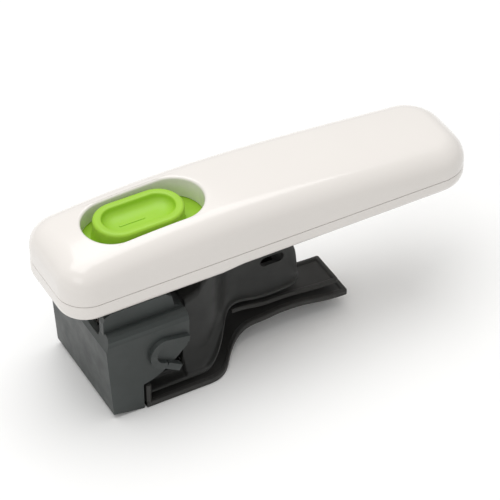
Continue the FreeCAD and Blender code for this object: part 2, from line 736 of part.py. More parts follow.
# ======================================================= the arm and strips
def eased(points):
    """Edges in XZ through the points, level at each of them."""
    edges = []
    for (x0, z0), (x1, z1) in zip(points, points[1:]):
        if abs(z1 - z0) < 1e-9:
            edges.append(Part.LineSegment(V(x0, 0, z0), V(x1, 0, z1)).toShape())
            continue
        reach = 0.45 * (x1 - x0)
        easing = Part.BezierCurve()
        easing.setPoles([V(x0, 0, z0), V(x0 + reach, 0, z0), V(x1 - reach, 0, z1),
                         V(x1, 0, z1)])
        edges.append(easing.toShape())
    return edges


def layer(line, thick):
    """A wide sheet of even thickness that follows an eased side line."""
    low = eased(line)
    high = eased([(px, pz + thick) for px, pz in line])
    ends = [Part.LineSegment(V(px, 0, pz), V(px, 0, pz + thick)).toShape()
            for px, pz in (line[0], line[-1])]
    side = face_of(low + high + ends)
    side.translate(V(0, -40, 0))
    return side.extrude(V(0, 80, 0))


top = size("underside")
start = size("neck_start")
end = size("neck_end")
arm_end = size("arm_end")
arm_front = size("arm_front")
floor = size("arm_floor")
tray_z = size("tray_height")
root_half = size("arm_root_width") / 2
arm_half = size("arm_half")
ramp = size("base_rise")

ARM_LINE = [(arm_front, floor), (start - 2, floor), (end - 10, tray_z + 4.7),
            (end + 14, tray_z + 1.7), (arm_end, tray_z + 2.7)]
skirt = s_plan(arm_front, arm_end, root_half, arm_half, 0, 60).common(layer(ARM_LINE, 4.5))
inset = size("arm_inset")
web_front = size("ear_rear") + 1
web_corners = [(web_front, floor), (web_front, top - 11), (start - 0.5, top - 8),
               (start + 1.5, top - 4), (start + 5, top - 1.3), (end + 12, top - 5),
               (arm_end - 9, top - 9), (arm_end - 4, top - 19), (arm_end - 0.5, top - 28),
               (arm_end - 0.5, tray_z + 2), (end, tray_z), (end - 10, tray_z)]


def prism(corners, spread):
    """A prism across Y over an outline in XZ."""
    points = [V(px, -spread, pz) for px, pz in corners]
    return Part.Face(Part.makePolygon(points + points[:1])).extrude(V(0, 2 * spread, 0))


def web_body(draw_in):
    """The upright part of the arm, drawn in from its outer faces."""
    plan = s_plan(web_front + draw_in * 0.6, arm_end - draw_in, root_half - inset - 1.6 - draw_in,
                  arm_half - inset - draw_in, 0, 70)
    body = plan.common(prism(web_corners, 40))
    above = layer(ARM_LINE, 80)
    return body.common(above)


arm = skirt.fuse(web_body(0))
hollow = s_plan(web_front + 2.2, arm_end - 8, root_half - inset - 3.8, arm_half - inset - 2.2,
                0, 70).common(prism([(web_front + 2.2, -1), (web_front + 2.2, top - 14),
                                     (start + 3, top - 7), (start + 7, top - 4),
                                     (end + 12, top - 7.5), (arm_end - 12, top - 12),
                                     (arm_end - 12, -1)], 40))
arm = arm.cut(hollow)
slot_x, slot_z, slot_long, slot_high = arm_end - 14, top - 19.2, 10.5, 4.4
slot = stadium(slot_x, slot_long, slot_high, -40, 40)
slot.rotate(V(slot_x, 0, 0), V(1, 0, 0), 90)
slot.translate(V(0, 0, slot_z))
arm = arm.cut(slot)
# room for the lock finger when the slider is drawn back
arm = arm.cut(Part.makeBox(9, size("finger_width") + 3, 40,
                           V(web_front - 1, -size("finger_width") / 2 - 1.5, top - 24)))
RIVETS = [(end + 6, 0.0), (arm_end - 7, 0.0)]
tray_half = size("tray_width") / 2
tray_end = size("tray_end")
thin = size("tray_thick")
lip = size("rim_height") * 0.6
TRAY_LINE = [(end - 6, tray_z + 2.2 - thin - lip), (end + 14, tray_z - 0.1 - thin - lip),
             (tray_end, tray_z - 2.3 - thin - lip)]


def raised_rim(outer, inner, line, low, high):
    """A rim that stands on a strip along its outline."""
    ring = outer.cut(inner)
    return ring.common(layer([(px, pz + low) for px, pz in line], high - low))


def plain_plan(x0, x1, half_span):
    return Part.makeBox(x1 - x0, 2 * half_span, 60, V(x0, -half_span, 0))


tray = plain_plan(end - 6, tray_end, tray_half).common(layer(TRAY_LINE, thin))
tray = tray.fuse(raised_rim(plain_plan(end - 6, tray_end, tray_half),
                            plain_plan(end - 6 - 1, tray_end - 2, tray_half - 1.8),
                            TRAY_LINE, thin - 0.1, thin + lip))
for px, py in RIVETS:
    foot = tray_z - 8
    post = Part.makeCylinder(size("boss_radius") - 0.8, 22, V(px, py, foot))
    above_tray = layer([(x0, z0 + thin) for x0, z0 in TRAY_LINE], 60)
    arm = arm.fuse(post.common(above_tray).common(
        Part.makeBox(60, 20, tray_z + 6, V(end - 20, -10, 0))))
arm = arm.removeSplitter()
free_shape("arm", arm)
free_shape("tray_strip", tray.removeSplitter())


def rise_at(line, px):
    """Height of an eased line at a distance from the front."""
    plumb = Part.LineSegment(V(px, 0, -50), V(px, 0, 90)).toShape()
    for edge in eased(line):
        distance, pairs, _ = edge.distToShape(plumb)
        if distance < 1e-6:
            return pairs[0][0].z
    return line[-1][1]


tray_rivets = []
for i, (px, py) in enumerate(RIVETS):
    under = rise_at(TRAY_LINE, px)
    tray_rivets.append(screw("tray_rivet%d" % i, str(px), str(py), str(under), "6"))
    tray_rivets[-1].Shapes[0].setExpression("Height", "0.9")
group_of("tray_rivets", tray_rivets)

base_end = size("base_end")
base_front = size("base_front")
thick = size("strip_thick")
wide = size("base_root_width") / 2
narrow = size("base_width") / 2
BASE_LINE = [(base_front, 0), (start + 8, 0), (end + 5, ramp - 0.6), (end + 18, ramp + 0.4),
             (base_end, ramp - 3.2)]
band = size("rim_width")
outline = s_plan(base_front, base_end, wide, narrow, 0, 60)
core = s_plan(base_front - 1, base_end - band, wide - band, narrow - band, 0, 60)
base = outline.common(layer(BASE_LINE, thick))
base = base.fuse(raised_rim(outline, core, BASE_LINE, thick - 0.1, thick + 0.6))
base = base.fuse(Part.makeBox(thick + 0.4, 2 * wide, 12, V(base_front, -wide, 0)))
flange_screws = [(base_front + thick + 0.4, y) for y in (-13, 13)]
for px, py in flange_screws:
    base = base.fuse(Part.makeCylinder(4, size("step_gap") + 1, V(base_front + 1, py, 7.5),
                                       V(-1, 0, 0)))
ARM_SCREWS = [(arm_front + 5, 17), (arm_front + 5, -17), (start - 6, 17), (start - 6, -17)]
for px, py in ARM_SCREWS:
    base = base.fuse(Part.makeCylinder(4, floor - thick + 0.5, V(px, py, thick - 0.5)))
free_shape("base_strip", base.removeSplitter())
base_screws = []
for i, (px, py) in enumerate(flange_screws):
    head = cylinder("base_screw%d_head" % i, str(px), str(py), "7.5", "head_radius - 0.4",
                    "step_gap - 0.5", (1, 0, 0))
    stem = cylinder("base_screw%d_shank" % i, str(px), str(py), "7.5", "screw_radius", "6",
                    (-1, 0, 0))
    base_screws.append(fused("base_screw%d" % i, [head, stem]))
group_of("base_screws", base_screws)
arm_screws = [screw("arm_screw%d" % i, str(px), str(py), str(floor + 4.5), "8", up=False)
              for i, (px, py) in enumerate(ARM_SCREWS)]
group_of("arm_screws", arm_screws)

# ---------------------------------------------------------------- checks, files
doc.recompute()
for item in doc.Objects:
    if "Invalid" in item.State or "Error" in item.State:
        raise RuntimeError("%s: %s" % (item.Label, item.State))
for node in NODES:
    shape = node.Shape
    if shape.isNull() or not shape.isValid():
        raise RuntimeError("bad shape: " + node.Label)
    shape.exportStep("parts/%s.step" % node.Label)
    box = shape.BoundBox
    print("%-18s solids %2d  volume %9.1f  x %7.2f..%7.2f  y %6.2f..%6.2f  z %6.2f..%6.2f" % (
        node.Label, len(shape.Solids), shape.Volume, box.XMin, box.XMax, box.YMin, box.YMax,
        box.ZMin, box.ZMax))
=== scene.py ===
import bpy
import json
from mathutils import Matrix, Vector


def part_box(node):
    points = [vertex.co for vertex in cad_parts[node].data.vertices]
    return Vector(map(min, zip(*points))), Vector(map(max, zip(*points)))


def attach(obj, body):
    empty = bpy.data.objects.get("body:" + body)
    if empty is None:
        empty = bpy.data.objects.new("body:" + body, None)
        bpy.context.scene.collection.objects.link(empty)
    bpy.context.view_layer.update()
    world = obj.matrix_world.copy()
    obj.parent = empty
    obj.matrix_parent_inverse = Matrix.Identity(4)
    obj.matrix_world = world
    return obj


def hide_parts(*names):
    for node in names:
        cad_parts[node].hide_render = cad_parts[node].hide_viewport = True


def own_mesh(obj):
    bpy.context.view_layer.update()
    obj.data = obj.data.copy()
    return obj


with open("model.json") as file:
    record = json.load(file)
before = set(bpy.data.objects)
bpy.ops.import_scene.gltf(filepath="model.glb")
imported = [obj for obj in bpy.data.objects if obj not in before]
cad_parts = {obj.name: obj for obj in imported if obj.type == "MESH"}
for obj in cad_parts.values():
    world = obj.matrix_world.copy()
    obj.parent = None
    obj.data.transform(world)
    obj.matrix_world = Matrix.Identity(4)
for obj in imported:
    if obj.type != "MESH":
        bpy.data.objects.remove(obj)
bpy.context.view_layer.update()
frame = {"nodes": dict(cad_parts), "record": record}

import json
import math

import bmesh
import bpy
import numpy as np
from mathutils import Vector

bl_info = {
    "name": "Folding pan handle",
    "version": (1, 0, 0),
    "blender": (4, 5, 0),
    "location": "View3D > Sidebar > Handle",
    "description": "Skins, finishes and studio of a folding clip-on pan handle",
    "category": "Object",
}

MM = 0.001


def node_box(node):
    """Lowest and highest corners of a CAD node, in millimetres."""
    low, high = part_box(node)
    return np.array(low) / MM, np.array(high) / MM


# The grip's own sizes come from the frame; the rest of the sizes here are in
# millimetres too, with X measured from the grip's front.
SEAM_GAP = 0.35
SHELL_HIGH = node_box("upper_shell")[1]
HALF_LENGTH = float(SHELL_HIGH[0])
HALF_WIDTH = float(SHELL_HIGH[1])
SEAM = float(node_box("lower_shell")[1][2]) + SEAM_GAP
CROWN = float(SHELL_HIGH[2]) - SEAM


# --------------------------------------------------------------------- settings
def length(name, description, default):
    """A size in millimetres, shown as a plain number."""
    return bpy.props.FloatProperty(name=name, description=description, default=default)


def colour(name, description, default):
    return bpy.props.FloatVectorProperty(name=name, description=description, default=default,
                                         size=3, subtype="COLOR", min=0, max=1)


class GripSettings(bpy.types.PropertyGroup):
    top_round: length("Top rounding", "Rounding of the grip's top edge, in mm", 10.0)
    camber: length("Camber", "Fall of the top from the middle to the sides, in mm", 1.8)
    lip_round: length("Lip rounding", "Rounding of the lip of the thumb opening, in mm", 1.3)
    wall: length("Wall", "Thickness of the shell, in mm", 2.2)
    opening_front: length("Opening front", "From the grip's front to the opening's, in mm", 18.5)
    opening_rear: length("Opening rear", "From the grip's front to the opening's rear, in mm", 72.6)
    opening_width: length("Opening width", "Width of the thumb opening, in mm", 27.4)
    white: colour("White", "Gloss white of the two shells", (0.78, 0.745, 0.71))


class SliderSettings(bpy.types.PropertyGroup):
    cup_wall: length("Rim width", "Width of the cup's rim, in mm", 3.7)
    dish_depth: length("Dish depth", "Depth of the thumb dish, in mm", 4.6)
    rim_round: length("Rim rounding", "Outer rounding of the cup's rim, in mm", 1.4)
    lime: colour("Lime", "Satin lime of the thumb slider", (0.31, 0.56, 0.028))


class ClipSettings(bpy.types.PropertyGroup):
    edge_round: length("Edge rounding", "Rounding of the bracket's edges, in mm", 1.1)
    flare: length("Flare", "Height of the arm's hollow flare, in mm", 9.0)
    bracket_grey: colour("Bracket grey", "Blue-green grey of the bracket", (0.036, 0.042, 0.0405))
    arm_grey: colour("Arm grey", "Neutral grey of the arm", (0.016, 0.0166, 0.0155))
    strip_grey: colour("Strip grey", "Brownish grey of the strips", (0.027, 0.0265, 0.0248))


# -------------------------------------------------------------------- materials
def new_material(name, base, rough, metallic=0.0, coat=0.0, gleam=0.5):
    """A Principled material whose even values sit on the shader's own sockets."""
    mat = bpy.data.materials.new(name)
    mat.use_nodes = True
    shader = mat.node_tree.nodes["Principled BSDF"]
    shader.inputs["Base Color"].default_value = (*base, 1)
    shader.inputs["Roughness"].default_value = rough
    shader.inputs["Metallic"].default_value = metallic
    shader.inputs["Coat Weight"].default_value = coat
    shader.inputs["Coat Roughness"].default_value = 0.08
    shader.inputs["Specular IOR Level"].default_value = gleam
    return mat, shader


def noise(mat, scale, detail=3.0, stretch=(1, 1, 1)):
    """Noise on the piece's own coordinates, stretched along its axes."""
    nodes, links = mat.node_tree.nodes, mat.node_tree.links
    place = nodes.new("ShaderNodeTexCoord")
    mapping = nodes.new("ShaderNodeMapping")
    mapping.inputs["Scale"].default_value = stretch
    links.new(place.outputs["Object"], mapping.inputs["Vector"])
    tex = nodes.new("ShaderNodeTexNoise")
    tex.inputs["Scale"].default_value = scale
    tex.inputs["Detail"].default_value = detail
    links.new(mapping.outputs["Vector"], tex.inputs["Vector"])
    return tex.outputs["Fac"]


def spread(mat, value, low, high):
    """Noise drawn out to run between two values."""
    node = mat.node_tree.nodes.new("ShaderNodeMapRange")
    node.inputs["From Min"].default_value = 0.3
    node.inputs["From Max"].default_value = 0.7
    node.inputs["To Min"].default_value = low
    node.inputs["To Max"].default_value = high
    mat.node_tree.links.new(value, node.inputs["Value"])
    return node.outputs["Result"]


def tint(mat, shader, value, dark, light):
    """Colour that drifts between two shades with a noise."""
    node = mat.node_tree.nodes.new("ShaderNodeMix")
    node.data_type = "RGBA"
    node.inputs["A"].default_value = (*dark, 1)
    node.inputs["B"].default_value = (*light, 1)
    mat.node_tree.links.new(value, node.inputs["Factor"])
    mat.node_tree.links.new(node.outputs["Result"], shader.inputs["Base Color"])
    return node


def grain(mat, shader, fine, coarse, depth):
    """Surface relief: fine moulding grain over a slow waviness, depth in metres."""
    nodes, links = mat.node_tree.nodes, mat.node_tree.links
    slow = nodes.new("ShaderNodeBump")
    slow.inputs["Distance"].default_value = depth * 2
    slow.inputs["Strength"].default_value = 0.25
    links.new(coarse, slow.inputs["Height"])
    quick = nodes.new("ShaderNodeBump")
    quick.inputs["Distance"].default_value = depth
    quick.inputs["Strength"].default_value = 0.5
    links.new(fine, quick.inputs["Height"])
    links.new(slow.outputs["Normal"], quick.inputs["Normal"])
    links.new(quick.outputs["Normal"], shader.inputs["Normal"])


def shades(base, amount):
    """A darker and a lighter shade of one colour."""
    base = np.array(base)
    return tuple(base * (1 - amount)), tuple(np.minimum(base * (1 + amount), 1))


def moulded(name, base, rough, rough_range, grain_scale, grain_depth, drift=0.05, coat=0.0,
            sheen_scale=120.0, gleam=0.5):
    """Moulded plastic: slow colour drift, uneven gloss and a fine grain."""
    mat, shader = new_material(name, base, rough, coat=coat, gleam=gleam)
    dark, light = shades(base, drift)
    slow = noise(mat, sheen_scale * 0.4, 4)
    tint(mat, shader, spread(mat, slow, 0, 1), dark, light)
    gloss = noise(mat, sheen_scale, 5)
    mat.node_tree.links.new(spread(mat, gloss, rough - rough_range, rough + rough_range),
                            shader.inputs["Roughness"])
    grain(mat, shader, noise(mat, grain_scale, 4), noise(mat, sheen_scale, 2), grain_depth)
    return mat


def metal(name, base, rough, stretch):
    """Drawn or turned metal: fine scratches along one direction."""
    mat, shader = new_material(name, base, rough, metallic=1.0)
    dark, light = shades(base, 0.12)
    lines = noise(mat, 900, 6, stretch)
    tint(mat, shader, spread(mat, lines, 0, 1), dark, light)
    mat.node_tree.links.new(spread(mat, lines, rough - 0.08, rough + 0.12),
                            shader.inputs["Roughness"])
    grain(mat, shader, lines, noise(mat, 150, 2), 0.00002)
    return mat


def painted_edge_highlight(mat, edge_highlight_colour):
    """Painted edge highlight: jutting edges made a little lighter in colour, found from how far a
    surface juts out.
    """
    nodes, links = mat.node_tree.nodes, mat.node_tree.links
    shader = nodes["Principled BSDF"]
    source = shader.inputs["Base Color"].links[0].from_socket
    edge = nodes.new("ShaderNodeNewGeometry")
    edge_highlight_amount = nodes.new("ShaderNodeMapRange")
    edge_highlight_amount.inputs["From Min"].default_value = 0.53
    edge_highlight_amount.inputs["From Max"].default_value = 0.62
    edge_highlight_amount.inputs["To Max"].default_value = 0.55
    links.new(edge.outputs["Pointiness"], edge_highlight_amount.inputs["Value"])
    mix = nodes.new("ShaderNodeMix")
    mix.data_type = "RGBA"
    mix.inputs["B"].default_value = (*edge_highlight_colour, 1)
    links.new(source, mix.inputs["A"])
    links.new(edge_highlight_amount.outputs["Result"], mix.inputs["Factor"])
    links.new(mix.outputs["Result"], shader.inputs["Base Color"])
    return mat


FINISH = {}


def make_finishes(scene):
    """Every finish of the handle, by the record's slot name."""
    clip = scene.clip_settings
    FINISH["white_gloss"] = moulded("gloss_white_shell", tuple(scene.grip_settings.white), 0.2,
                                    0.03, 1800, 0.000004, 0.012, 0.35, 45)
    FINISH["lime_plastic"] = moulded("satin_lime_slider", tuple(scene.slider_settings.lime), 0.42,
                                     0.05, 3200, 0.00002, 0.05, 0.05, 90)
    # The three greys below get a painted edge highlight: their jutting edges are drawn lighter in
    # colour.
    grey = tuple(clip.bracket_grey)
    FINISH["bracket"] = painted_edge_highlight(moulded("satin_grey_bracket", grey, 0.46, 0.07, 2600, 0.00004, 0.10,
                                     0.0, 140, 0.4), tuple(np.array(grey) * 1.7))
    grey = tuple(clip.arm_grey)
    FINISH["dark_plastic"] = painted_edge_highlight(moulded("satin_grey_arm", grey, 0.48, 0.07, 2600, 0.00004, 0.10,
                                          0.0, 140, 0.4), tuple(np.array(grey) * 1.7))
    grey = tuple(clip.strip_grey)
    FINISH["strip_plastic"] = painted_edge_highlight(moulded("matt_grey_strip", grey, 0.55, 0.08, 2200, 0.00005,
                                           0.12, 0.0, 110, 0.35), tuple(np.array(grey) * 1.8))
    FINISH["inner_plastic"] = moulded("natural_guide_plate", (0.50, 0.50, 0.47), 0.5, 0.06, 2400,
                                      0.00004, 0.05, 0.0, 120)
    FINISH["steel"] = metal("brushed_steel", (0.55, 0.55, 0.56), 0.32, (0.2, 1, 1))
    FINISH["bush_brass"] = metal("turned_brass", (0.72, 0.52, 0.22), 0.3, (1, 0.2, 1))


# -------------------------------------------------------------- surface builders
def ring_surface(rings, caps=True, closed=False):
    """Quads between neighbouring closed rings of points; ends capped or joined.

    rings has the shape (ring, point, xyz).  The faces are turned outwards by
    the sign of the enclosed volume, the sum of p0 . (p1 x p2) / 6.
    """
    rows, count, _ = rings.shape
    points = rings.reshape(-1, 3)
    index = np.arange(rows * count).reshape(rows, count)
    side = np.roll(index, -1, axis=1)
    ahead = np.roll(index, -1, axis=0)
    corner = np.roll(side, -1, axis=0)
    quads = np.stack([index, side, corner, ahead], axis=-1)
    quads = (quads if closed else quads[:-1]).reshape(-1, 4)
    faces = quads.tolist()
    triangles = [quads[:, [0, 1, 2]], quads[:, [0, 2, 3]]]
    if caps and not closed:
        ends = (index[0][::-1], index[-1])
        faces += [end.tolist() for end in ends]
        triangles += [np.stack([np.full(count - 2, end[0]), end[1:-1], end[2:]], axis=-1)
                      for end in ends]
    a, b, c = (points[np.concatenate(triangles)[:, i]] for i in range(3))
    if np.einsum("ij,ij->i", a, np.cross(b, c)).sum() < 0:
        faces = [face[::-1] for face in faces]
    return points, faces


def make_piece(name, surfaces, body, material, nodes, sharp=38.0):
    """One object from several surfaces in millimetres, riding on a body."""
    points = np.concatenate([part[0] for part in surfaces]) * MM
    start = np.cumsum([0] + [len(part[0]) for part in surfaces])
    faces = [[start[i] + v for v in face] for i, part in enumerate(surfaces) for face in part[1]]
    mesh = bpy.data.meshes.new(name)
    mesh.from_pydata(points.tolist(), [], faces)
    mesh.validate()
    obj = bpy.data.objects.new(name, mesh)
    bpy.context.scene.collection.objects.link(obj)
    weld(obj)
    mesh.polygons.foreach_set("use_smooth", np.ones(len(mesh.polygons), bool))
    mesh.set_sharp_from_angle(angle=math.radians(sharp))
    mesh.materials.append(material)
    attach(obj, body)
    if nodes:
        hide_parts(*nodes)
    return obj


def weld(obj):
    """Merge the points that meet, so that seams and poles are closed."""
    work = bmesh.new()
    work.from_mesh(obj.data)
    bmesh.ops.remove_doubles(work, verts=work.verts, dist=0.000002)
    bmesh.ops.dissolve_degenerate(work, edges=work.edges, dist=0.000001)
    work.to_mesh(obj.data)
    work.free()


def ease(share, reach):
    """Bezier easing from 0 to 1, level at both ends: height 3u^2 - 2u^3 against
    a distance whose two middle control points are at reach and 1 - reach."""
    u = np.linspace(0, 1, 129)
    along = 3 * (1 - u) ** 2 * u * reach + 3 * (1 - u) * u ** 2 * (1 - reach) + u ** 3
    return np.interp(np.clip(share, 0, 1), along, 3 * u ** 2 - 2 * u ** 3)


def eased_line(points, x, reach=0.45):
    """A line that eases from each given point to the next."""
    height = np.full(np.shape(x), float(points[0][1]))
    for (x0, z0), (x1, z1) in zip(points, points[1:]):
        height = np.where(x >= x0, z0 + (z1 - z0) * ease((x - x0) / (x1 - x0), reach), height)
    return height


def curved_line(points, x):
    """A smooth line through the points: between two of them a cubic whose
    slope at each point is that of the line joining its neighbours."""
    px, pz = np.array(points, float).T
    slope = np.gradient(pz, px)
    i = np.clip(np.searchsorted(px, x) - 1, 0, len(px) - 2)
    step = px[i + 1] - px[i]
    t = (x - px[i]) / step
    return ((2 * t ** 3 - 3 * t ** 2 + 1) * pz[i] + (t ** 3 - 2 * t ** 2 + t) * step * slope[i]
            + (3 * t ** 2 - 2 * t ** 3) * pz[i + 1] + (t ** 3 - t ** 2) * step * slope[i + 1])


def rounded_plan(x0, x1, half, front, tail, count=400):
    """Points and outward normals round a rectangle with a front and a tail corner
    radius, evenly spaced: each corner is a centre plus radius times (cos, sin)."""
    turn = np.linspace(0, math.pi / 2, 40)
    centres = ((x1 - tail, half - tail, tail, 0), (x0 + front, half - front, front, 1),
               (x0 + front, front - half, front, 2), (x1 - tail, tail - half, tail, 3))
    angle = np.concatenate([turn + q * math.pi / 2 for _, _, _, q in centres])
    radius = np.repeat([c[2] for c in centres], 40)
    middle = np.repeat([c[:2] for c in centres], 40, axis=0)
    normal = np.stack([np.cos(angle), np.sin(angle)], axis=-1)
    points = middle + radius[:, None] * normal
    points = np.vstack([points, points[:1]])
    normal = np.vstack([normal, normal[:1]])
    way = np.concatenate([[0], np.cumsum(np.hypot(*np.diff(points, axis=0).T) + 1e-6)])
    even = np.linspace(0, way[-1], count, endpoint=False)
    place = np.stack([np.interp(even, way, points[:, i]) for i in (0, 1)], axis=-1)
    facing = np.stack([np.interp(even, way, normal[:, i]) for i in (0, 1)], axis=-1)
    return place, facing / np.linalg.norm(facing, axis=1, keepdims=True)


def stacked(plan, profile):
    """A plan outline carried up a profile of (inset, height) pairs."""
    place, facing = plan
    inset, height = np.array(profile, float).T
    flat = place[None] - facing[None] * inset[:, None, None]
    level = np.broadcast_to(height[:, None, None], flat.shape[:2] + (1,))
    return np.concatenate([flat, level], axis=-1)


def quarter(inset0, height0, radius_in, radius_up, start, end, count=8):
    """Profile points on an ellipse about (inset0, height0)."""
    angle = np.radians(np.linspace(start, end, count))
    return [(inset0 + radius_in * math.cos(t), height0 + radius_up * math.sin(t)) for t in angle]


def soft_block(x0, x1, half, z0, z1, corner, edge):
    """A block with rounded upright corners and rounded top and bottom edges."""
    plan = rounded_plan(x0, x1, half, corner, corner, 64)
    profile = (quarter(edge, z0 + edge, edge, edge, 270, 180, 5)
               + quarter(edge, z1 - edge, edge, edge, 180, 90, 5))
    return ring_surface(shifted(stacked(plan, profile)))


def shifted(rings):
    """From distances behind the grip's front to the shared frame."""
    return rings - np.array([HALF_LENGTH, 0, 0])


# ------------------------------------------------------------------- the shells
FRONT_CORNER, TAIL_CORNER = 13, 17
WELL_DEPTH = 8.9
WELL_WALL = 1.8
# The crown line: share of the grip's length against share of the crown's height.
CROWN_SHARES = [(-0.02, 0.775), (0.07, 0.87), (0.18, 0.955), (0.34, 1.0), (0.50, 0.955),
                (0.65, 0.865), (0.80, 0.74), (0.92, 0.635), (1.02, 0.54)]


def crown_height(x, y, camber):
    """Height of the top above the ground: the arched crown line, less a camber
    that grows with the square of the distance from the middle."""
    points = [(2 * HALF_LENGTH * a, SEAM + CROWN * b) for a, b in CROWN_SHARES]
    return curved_line(points, x) - camber * (y / HALF_WIDTH) ** 2


def shell_half(grip, inset, steps):
    """Rings of the grip's top skin from the seam to the lip of the opening.

    Up the side the outline stays; over the top edge the inset grows as
    R(1 - cos t) while the height rises as S sin t; then the outline runs in
    straight lines to the opening's, at the height of the crown.
    """
    place, facing = rounded_plan(0, 2 * HALF_LENGTH, HALF_WIDTH, FRONT_CORNER, TAIL_CORNER)
    rounding = grip.top_round - inset
    rings = []
    edge = place - facing * inset
    top_edge = crown_height(place[:, 0] - facing[:, 0] * (rounding + inset) * 0.5, place[:, 1],
                            grip.camber) - inset
    upright = np.minimum(rounding, 0.86 * (top_edge - SEAM))
    base = top_edge - upright
    for share in np.linspace(0, 1, 5)[:-1]:
        rings.append(np.column_stack([edge, SEAM + (base - SEAM) * share]))
    for turn in np.radians(np.linspace(0, 90, 15)):
        flat = edge - facing * rounding * (1 - math.cos(turn))
        crown = crown_height(flat[:, 0], flat[:, 1], grip.camber) - inset
        fade = math.sin(turn) ** 2
        level = base + upright * math.sin(turn)
        rings.append(np.column_stack([flat, level + (crown - top_edge) * fade]))
    hole = opening_outline(grip, place, inset + grip.lip_round)
    start = edge - facing * rounding
    for share in np.linspace(0, 1, steps)[1:]:
        flat = start + (hole - start) * share
        crown = crown_height(flat[:, 0], flat[:, 1], grip.camber) - inset
        rings.append(np.column_stack([flat, crown]))
    return np.array(rings)


def opening_outline(grip, place, grow):
    """Where the rays from the opening's middle to the outline cross the rounded
    slot grown by a margin: the larger root of the ray's circle equation, or the
    flat side where the ray meets that first."""
    radius = grip.opening_width / 2 + grow
    middle = (grip.opening_front + grip.opening_rear) / 2
    reach = (grip.opening_rear - grip.opening_front - grip.opening_width) / 2
    ray = place - np.array([middle, 0])
    ray = ray / np.linalg.norm(ray, axis=1, keepdims=True)
    along = np.abs(ray[:, 0])
    across = np.abs(ray[:, 1])
    to_circle = along * reach + np.sqrt(np.maximum((along * reach) ** 2 - reach ** 2
                                                   + radius ** 2, 0))
    to_side = radius / np.maximum(across, 1e-9)
    distance = np.where(to_side * along <= reach, to_side, to_circle)
    return np.array([middle, 0]) + ray * distance[:, None]


class HANDLE_OT_upper_shell(bpy.types.Operator):
    """Gloss upper shell with its thumb opening, as one closed wall"""
    bl_idname = "handle.upper_shell"
    bl_label = "Upper shell"

    def execute(self, context):
        grip = context.scene.grip_settings
        place, _ = rounded_plan(0, 2 * HALF_LENGTH, HALF_WIDTH, FRONT_CORNER, TAIL_CORNER)
        skin = shell_half(grip, 0, 34)
        lip = []
        for turn in np.radians(np.linspace(0, 90, 7))[1:]:
            flat = opening_outline(grip, place, grip.lip_round * (1 - math.sin(turn)))
            crown = crown_height(flat[:, 0], flat[:, 1], grip.camber)
            lip.append(np.column_stack([flat, crown - grip.lip_round * (1 - math.cos(turn))]))
        floor = node_box("slider_button")[1][2] - WELL_DEPTH
        wall = opening_outline(grip, place, 0.0)
        back = opening_outline(grip, place, WELL_WALL)
        for share in (0.5, 1.0):
            top = lip[5][:, 2]
            lip.append(np.column_stack([wall, top + (floor - top) * share]))
        lip.append(np.column_stack([back, np.full(len(back), floor)]))
        inner = shell_half(grip, grip.wall, 12)[::-1]
        rings = np.concatenate([skin, np.array(lip), inner])
        surface = ring_surface(shifted(rings), closed=True)
        make_piece("upper_shell_skin", [surface], "grip", FINISH["white_gloss"],
                   ["upper_shell"], sharp=60)
        return {"FINISHED"}


# ------------------------------------------------------------------- the slider
CUP_FRONT, CUP_REAR = 23.55, 63.55
CUP_HALF = 11.25
PLATE_DROP = 9.2
PLATE_THICK = 2
RIB_FRONT, RIB_REAR = 34.5, 46.5
STEM_FRONT, STEM_REAR, STEM_HALF = 48.9, 59.9, 3.5


class HANDLE_OT_thumb_slider(bpy.types.Operator):
    """Lime thumb cup on its sliding plate, with the stem below"""
    bl_idname = "handle.thumb_slider"
    bl_label = "Thumb slider"

    def execute(self, context):
        slider = context.scene.slider_settings
        low, high = node_box("slider_button")
        top = high[2]
        plate_top = top - PLATE_DROP
        cup = rounded_plan(CUP_FRONT, CUP_REAR, CUP_HALF, CUP_HALF - 0.01, CUP_HALF - 0.01, 240)
        rim = slider.rim_round
        wall = slider.cup_wall
        depth = slider.dish_depth
        profile = ([(-0.9, plate_top - 0.4), (-0.9, plate_top), (-0.35, plate_top + 0.5)]
                   + [(0, plate_top + 1.4), (0, top - rim - 2)]
                   + quarter(rim, top - rim, rim, rim, 180, 90, 8)
                   + quarter(wall - 0.7, top - 0.8, -0.8, 0.8, 90, 170, 6)[1:]
                   + quarter(wall + 5.6, top - 1.1, 5.4, depth - 1.1, 182, 268, 12)
                   + [(CUP_HALF - 0.012, top - depth)])
        surfaces = [ring_surface(shifted(stacked(cup, profile)))]
        floor = top - depth
        surfaces.append(soft_block(RIB_FRONT, RIB_REAR, 0.55, floor - 0.4, floor + 0.35, 0.5, 0.2))
        surfaces.append(soft_block(low[0] + HALF_LENGTH, high[0] + HALF_LENGTH, high[1],
                                   plate_top - PLATE_THICK, plate_top, 3.0, 0.5))
        stem_low = node_box("lock_bolt")[1][2]
        surfaces.append(soft_block(STEM_FRONT, STEM_REAR, STEM_HALF, stem_low, plate_top - 1.5,
                                   0.8, 0.3))
        make_piece("thumb_slider_skin", surfaces, "slider", FINISH["lime_plastic"],
                   ["slider_button"], sharp=50)
        return {"FINISHED"}


# ---------------------------------------------------------------- arm and strips
ARM_FRONT, ARM_END = 34.4, 118.0
NECK_START, NECK_END = 61.0, 88.0
TRAY_LEVEL = 16.5
ARM_ROOT_HALF, ARM_HALF = 25, 8.25
SIDE_ROOT_HALF, SIDE_HALF = 19.6, 4.9
NOSE = 7.0
ARM_TOP = float(node_box("arm")[1][2]) + 1.3
